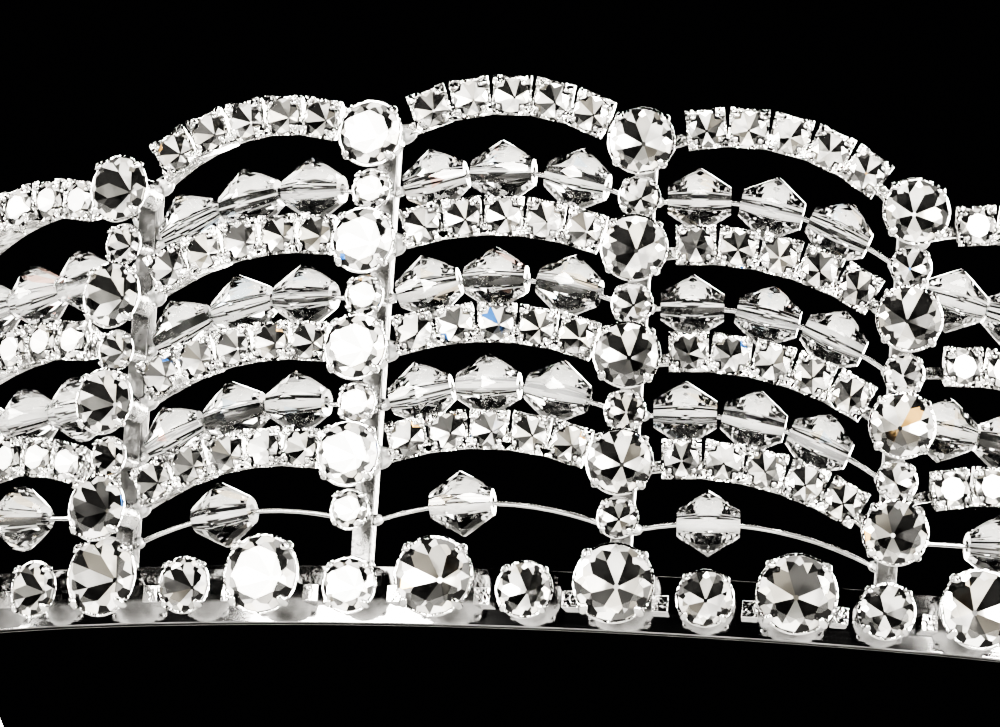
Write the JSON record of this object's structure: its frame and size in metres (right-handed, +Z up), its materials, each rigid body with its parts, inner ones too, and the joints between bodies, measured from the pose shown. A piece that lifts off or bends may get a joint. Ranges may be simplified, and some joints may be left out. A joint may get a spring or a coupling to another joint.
{
  "type": "bridal tiara",
  "caption": "Open oval headband with upright posts, arches of set stones and faceted beads that turn on wires, for wearing in the hair.",
  "frame": {"origin": "front centre of the band's lower edge, half way through its thickness", "axes": "+Z up through the posts, -Y out of the front of the tiara, +X to the wearer's left, along the band's greatest width"},
  "size_m": [0.1543, 0.0985, 0.0471],
  "materials": {
    "band_metal": "polished silver plate",
    "plated_metal": "bright silver plate with cast texture",
    "wire": "bright drawn wire",
    "foiled_stone": "cut glass with a silver foil back",
    "crystal_bead": "clear cut crystal"
  },
  "bodies": {
    "tiara": {"band": "band_metal", "pin_loops": "band_metal", "posts": "plated_metal", "post_cups_large": "plated_metal", "post_cups_small": "plated_metal", "arch_frames_centre": "plated_metal", "arch_frames_left": "plated_metal", "arch_frames_right": "plated_metal", "arch_frames_outer_left": "plated_metal", "arch_frames_outer_right": "plated_metal", "arch_frames_end": "plated_metal", "end_scrolls": "plated_metal", "base_cups_large": "plated_metal", "base_cups_small": "plated_metal", "base_links": "plated_metal", "bead_wires": "wire", "base_stones_large": "foiled_stone", "base_stones_small": "foiled_stone", "post_stones_large": "foiled_stone", "post_stones_small": "foiled_stone", "arch_stones": "foiled_stone"},
    "left_1_1": {"bead_left_1_1": "crystal_bead"},
    "left_1_2": {"bead_left_1_2": "crystal_bead"},
    "left_1_3": {"bead_left_1_3": "crystal_bead"},
    "left_2_1": {"bead_left_2_1": "crystal_bead"},
    "left_2_2": {"bead_left_2_2": "crystal_bead"},
    "left_2_3": {"bead_left_2_3": "crystal_bead"},
    "left_3_1": {"bead_left_3_1": "crystal_bead"},
    "left_3_2": {"bead_left_3_2": "crystal_bead"},
    "left_3_3": {"bead_left_3_3": "crystal_bead"},
    "left_4_1": {"bead_left_4_1": "crystal_bead"},
    "centre_1_1": {"bead_centre_1_1": "crystal_bead"},
    "centre_1_2": {"bead_centre_1_2": "crystal_bead"},
    "centre_1_3": {"bead_centre_1_3": "crystal_bead"},
    "centre_2_1": {"bead_centre_2_1": "crystal_bead"},
    "centre_2_2": {"bead_centre_2_2": "crystal_bead"},
    "centre_2_3": {"bead_centre_2_3": "crystal_bead"},
    "centre_3_1": {"bead_centre_3_1": "crystal_bead"},
    "centre_3_2": {"bead_centre_3_2": "crystal_bead"},
    "centre_3_3": {"bead_centre_3_3": "crystal_bead"},
    "centre_4_1": {"bead_centre_4_1": "crystal_bead"},
    "right_1_1": {"bead_right_1_1": "crystal_bead"},
    "right_1_2": {"bead_right_1_2": "crystal_bead"},
    "right_1_3": {"bead_right_1_3": "crystal_bead"},
    "right_2_1": {"bead_right_2_1": "crystal_bead"},
    "right_2_2": {"bead_right_2_2": "crystal_bead"},
    "right_2_3": {"bead_right_2_3": "crystal_bead"},
    "right_3_1": {"bead_right_3_1": "crystal_bead"},
    "right_3_2": {"bead_right_3_2": "crystal_bead"},
    "right_3_3": {"bead_right_3_3": "crystal_bead"},
    "right_4_1": {"bead_right_4_1": "crystal_bead"},
    "outer_left_1": {"beads_outer_left_1": "crystal_bead"},
    "outer_left_2": {"beads_outer_left_2": "crystal_bead"},
    "outer_left_3": {"beads_outer_left_3": "crystal_bead"},
    "outer_right_1": {"beads_outer_right_1": "crystal_bead"},
    "outer_right_2": {"beads_outer_right_2": "crystal_bead"},
    "outer_right_3": {"beads_outer_right_3": "crystal_bead"},
    "end_left_1": {"beads_end_left_1": "crystal_bead"},
    "end_right_1": {"beads_end_right_1": "crystal_bead"}
  },
  "joints": [
    {"name": "left_1_1_spin", "type": "hinge", "parent": "tiara", "child": "left_1_1", "pos_m": [-0.02933, 0.00483, 0.0349], "axis": [0.8817, -0.2046, 0.4251], "continuous": true},
    {"name": "left_1_2_spin", "type": "hinge", "parent": "tiara", "child": "left_1_2", "pos_m": [-0.02392, 0.00358, 0.03686], "axis": [0.9468, -0.2197, 0.235], "continuous": true},
    {"name": "left_1_3_spin", "type": "hinge", "parent": "tiara", "child": "left_1_3", "pos_m": [-0.01814, 0.00223, 0.03766], "axis": [0.9736, -0.2259, 0.0319], "continuous": true},
    {"name": "left_2_1_spin", "type": "hinge", "parent": "tiara", "child": "left_2_1", "pos_m": [-0.02933, 0.00483, 0.02566], "axis": [0.8817, -0.2046, 0.4251], "continuous": true},
    {"name": "left_2_2_spin", "type": "hinge", "parent": "tiara", "child": "left_2_2", "pos_m": [-0.02392, 0.00358, 0.02762], "axis": [0.9468, -0.2197, 0.235], "continuous": true},
    {"name": "left_2_3_spin", "type": "hinge", "parent": "tiara", "child": "left_2_3", "pos_m": [-0.01823, 0.00226, 0.02842], "axis": [0.9735, -0.2259, 0.0353], "continuous": true},
    {"name": "left_3_1_spin", "type": "hinge", "parent": "tiara", "child": "left_3_1", "pos_m": [-0.02933, 0.00483, 0.01642], "axis": [0.8817, -0.2046, 0.4251], "continuous": true},
    {"name": "left_3_2_spin", "type": "hinge", "parent": "tiara", "child": "left_3_2", "pos_m": [-0.02392, 0.00358, 0.01838], "axis": [0.9468, -0.2197, 0.235], "continuous": true},
    {"name": "left_3_3_spin", "type": "hinge", "parent": "tiara", "child": "left_3_3", "pos_m": [-0.01823, 0.00226, 0.01918], "axis": [0.9735, -0.2259, 0.0353], "continuous": true},
    {"name": "left_4_1_spin", "type": "hinge", "parent": "tiara", "child": "left_4_1", "pos_m": [-0.02444, 0.0037, 0.00955], "axis": [0.9628, -0.2234, 0.1522], "continuous": true},
    {"name": "centre_1_1_spin", "type": "hinge", "parent": "tiara", "child": "centre_1_1", "pos_m": [-0.00702, 0.00065, 0.03853], "axis": [0.9684, 0, 0.2495], "continuous": true},
    {"name": "centre_1_2_spin", "type": "hinge", "parent": "tiara", "child": "centre_1_2", "pos_m": [-0.0012, 0.00065, 0.03939], "axis": [0.9991, 0, 0.0426], "continuous": true},
    {"name": "centre_1_3_spin", "type": "hinge", "parent": "tiara", "child": "centre_1_3", "pos_m": [0.00537, 0.00065, 0.0389], "axis": [0.9817, 0, -0.1906], "continuous": true},
    {"name": "centre_2_1_spin", "type": "hinge", "parent": "tiara", "child": "centre_2_1", "pos_m": [-0.00702, 0.00065, 0.02929], "axis": [0.9684, 0, 0.2495], "continuous": true},
    {"name": "centre_2_2_spin", "type": "hinge", "parent": "tiara", "child": "centre_2_2", "pos_m": [-0.0012, 0.00065, 0.03015], "axis": [0.9991, 0, 0.0426], "continuous": true},
    {"name": "centre_2_3_spin", "type": "hinge", "parent": "tiara", "child": "centre_2_3", "pos_m": [0.00527, 0.00065, 0.02968], "axis": [0.9823, 0, -0.1871], "continuous": true},
    {"name": "centre_3_1_spin", "type": "hinge", "parent": "tiara", "child": "centre_3_1", "pos_m": [-0.00702, 0.00065, 0.02005], "axis": [0.9684, 0, 0.2495], "continuous": true},
    {"name": "centre_3_2_spin", "type": "hinge", "parent": "tiara", "child": "centre_3_2", "pos_m": [-0.0012, 0.00065, 0.02091], "axis": [0.9991, 0, 0.0426], "continuous": true},
    {"name": "centre_3_3_spin", "type": "hinge", "parent": "tiara", "child": "centre_3_3", "pos_m": [0.00488, 0.00065, 0.02051], "axis": [0.9849, 0, -0.1731], "continuous": true},
    {"name": "centre_4_1_spin", "type": "hinge", "parent": "tiara", "child": "centre_4_1", "pos_m": [-0.0028, 0.00065, 0.01067], "axis": [0.9958, 0, 0.0916], "continuous": true},
    {"name": "right_1_1_spin", "type": "hinge", "parent": "tiara", "child": "right_1_1", "pos_m": [0.0159, 0.00171, 0.03764], "axis": [0.9731, 0.2258, 0.0468], "continuous": true},
    {"name": "right_1_2_spin", "type": "hinge", "parent": "tiara", "child": "right_1_2", "pos_m": [0.02191, 0.00311, 0.03728], "axis": [0.9608, 0.2229, -0.1646], "continuous": true},
    {"name": "right_1_3_spin", "type": "hinge", "parent": "tiara", "child": "right_1_3", "pos_m": [0.02763, 0.00444, 0.03565], "axis": [0.9068, 0.2104, -0.3654], "continuous": true},
    {"name": "right_2_1_spin", "type": "hinge", "parent": "tiara", "child": "right_2_1", "pos_m": [0.0159, 0.00171, 0.0284], "axis": [0.9731, 0.2258, 0.0468], "continuous": true},
    {"name": "right_2_2_spin", "type": "hinge", "parent": "tiara", "child": "right_2_2", "pos_m": [0.0222, 0.00318, 0.02798], "axis": [0.9591, 0.2226, -0.1747], "continuous": true},
    {"name": "right_2_3_spin", "type": "hinge", "parent": "tiara", "child": "right_2_3", "pos_m": [0.02781, 0.00448, 0.02634], "axis": [0.9043, 0.2098, -0.3718], "continuous": true},
    {"name": "right_3_1_spin", "type": "hinge", "parent": "tiara", "child": "right_3_1", "pos_m": [0.0159, 0.00171, 0.01916], "axis": [0.9731, 0.2258, 0.0468], "continuous": true},
    {"name": "right_3_2_spin", "type": "hinge", "parent": "tiara", "child": "right_3_2", "pos_m": [0.02163, 0.00304, 0.01884], "axis": [0.9624, 0.2233, -0.1544], "continuous": true},
    {"name": "right_3_3_spin", "type": "hinge", "parent": "tiara", "child": "right_3_3", "pos_m": [0.02718, 0.00433, 0.01735], "axis": [0.9127, 0.2118, -0.3494], "continuous": true},
    {"name": "right_4_1_spin", "type": "hinge", "parent": "tiara", "child": "right_4_1", "pos_m": [0.01842, 0.0023, 0.00987], "axis": [0.973, 0.2258, 0.0489], "continuous": true},
    {"name": "outer_left_1_spin", "type": "hinge", "parent": "tiara", "child": "outer_left_1", "pos_m": [-0.04424, 0.01185, 0.02929], "axis": [0.8613, -0.4804, 0.1653], "continuous": true},
    {"name": "outer_left_2_spin", "type": "hinge", "parent": "tiara", "child": "outer_left_2", "pos_m": [-0.04424, 0.01185, 0.01857], "axis": [0.8685, -0.4844, 0.1053], "continuous": true},
    {"name": "outer_left_3_spin", "type": "hinge", "parent": "tiara", "child": "outer_left_3", "pos_m": [-0.04445, 0.01197, 0.00997], "axis": [0.8725, -0.4866, -0.0441], "continuous": true},
    {"name": "outer_right_1_spin", "type": "hinge", "parent": "tiara", "child": "outer_right_1", "pos_m": [0.04205, 0.01063, 0.02971], "axis": [0.8613, 0.4804, -0.1653], "continuous": true},
    {"name": "outer_right_2_spin", "type": "hinge", "parent": "tiara", "child": "outer_right_2", "pos_m": [0.04204, 0.01062, 0.01883], "axis": [0.8685, 0.4844, -0.1053], "continuous": true},
    {"name": "outer_right_3_spin", "type": "hinge", "parent": "tiara", "child": "outer_right_3", "pos_m": [0.04184, 0.01051, 0.00983], "axis": [0.8725, 0.4866, 0.0441], "continuous": true},
    {"name": "end_left_1_spin", "type": "hinge", "parent": "tiara", "child": "end_left_1", "pos_m": [-0.06051, 0.02598, 0.02179], "axis": [0.5984, -0.7338, 0.3217], "continuous": true},
    {"name": "end_right_1_spin", "type": "hinge", "parent": "tiara", "child": "end_right_1", "pos_m": [0.05955, 0.02481, 0.02231], "axis": [0.5984, 0.7338, -0.3217], "continuous": true}
  ]
}
